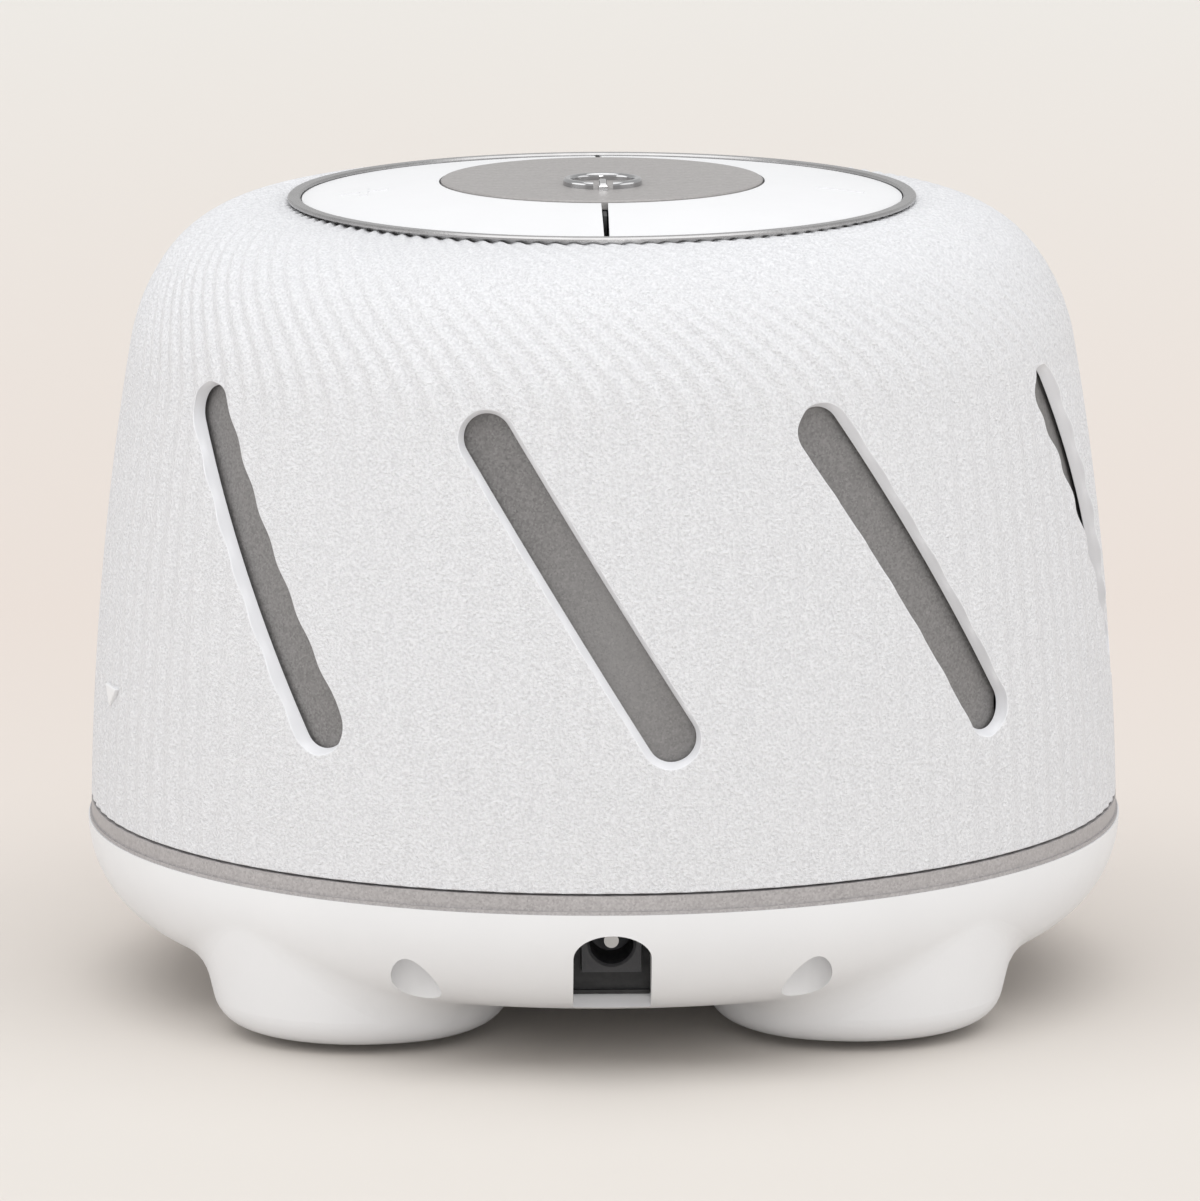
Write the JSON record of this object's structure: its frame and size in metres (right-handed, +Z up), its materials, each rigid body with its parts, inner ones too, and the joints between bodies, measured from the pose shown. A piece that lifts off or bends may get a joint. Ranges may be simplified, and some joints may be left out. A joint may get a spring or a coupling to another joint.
{
  "type": "white noise sound machine",
  "caption": "Fan-driven white noise sound machine: fluted white dome with slanted slots that twists over a grey slotted sleeve, round key plates on top, footed white base with a rear DC inlet.",
  "frame": {"origin": "bottom centre, on the plane that the rubber pads stand on, on the dome's axis", "axes": "+Z up along the dome's axis, -Y to the rear where the power inlet is, +X to the right seen from the rear"},
  "size_m": [0.1534, 0.1534, 0.1204],
  "materials": {
    "white_plastic": "satin",
    "grey_metallic_plastic": "satin, fine metallic flake",
    "grey_disc_plastic": "satin",
    "black_plastic": "satin",
    "inner_plastic": "satin",
    "chrome_trim": "polished",
    "rubber": "matte",
    "steel": "brushed",
    "bronze": "sintered",
    "ferrite": "matte",
    "laminated_iron": "matte",
    "circuit_board": "gloss",
    "lead_sheath": "satin"
  },
  "bodies": {
    "base": {"base_pan": "white_plastic", "foot_pads": "rubber", "base_screws": "steel", "sleeve_screws": "steel", "baffle_screws": "steel", "intake_grille": "white_plastic", "collar_band": "grey_metallic_plastic", "tone_sleeve": "grey_metallic_plastic", "air_baffle": "inner_plastic", "motor_grommets": "rubber", "motor_bracket": "steel", "motor_screws": "steel", "motor_can": "steel", "motor_end_cap": "inner_plastic", "motor_bearings": "bronze", "motor_magnets": "ferrite", "inlet_plate": "black_plastic", "dc_jack": "black_plastic", "jack_pin": "chrome_trim", "inlet_board": "circuit_board", "inlet_screws": "steel", "power_lead": "lead_sheath", "motor_lead": "lead_sheath", "trim_ring": "grey_metallic_plastic", "top_frame": "inner_plastic", "top_screws": "steel", "control_board": "circuit_board", "board_screws": "steel", "tact_switches": "black_plastic"},
    "dome": {"dome_shell": "white_plastic"},
    "fan": {"impeller": "inner_plastic", "motor_shaft": "steel", "armature": "laminated_iron"},
    "plus_key": {"plus_plate": "white_plastic", "plus_plunger": "black_plastic"},
    "minus_key": {"minus_plate": "white_plastic", "minus_plunger": "black_plastic"},
    "power_key": {"power_disc": "grey_disc_plastic", "power_symbol": "chrome_trim", "power_plunger": "black_plastic"}
  },
  "joints": [
    {"name": "tone_twist", "type": "hinge", "parent": "base", "child": "dome", "pos_m": [0, 0, 0.0281], "axis": [0, 0, 1], "range_deg": [0, 20]},
    {"name": "fan_spin", "type": "hinge", "parent": "base", "child": "fan", "pos_m": [0, 0, 0.0366], "axis": [0, 0, 1], "continuous": true},
    {"name": "plus_press", "type": "slide", "parent": "base", "child": "plus_key", "axis": [0, 0, -1], "range_m": [0, 0.0006], "stiffness_N_per_m": 3000, "springref_m": -0.0002},
    {"name": "minus_press", "type": "slide", "parent": "base", "child": "minus_key", "axis": [0, 0, -1], "range_m": [0, 0.0006], "stiffness_N_per_m": 3000, "springref_m": -0.0002},
    {"name": "power_press", "type": "slide", "parent": "base", "child": "power_key", "axis": [0, 0, -1], "range_m": [0, 0.0006], "stiffness_N_per_m": 3000, "springref_m": -0.0002}
  ]
}
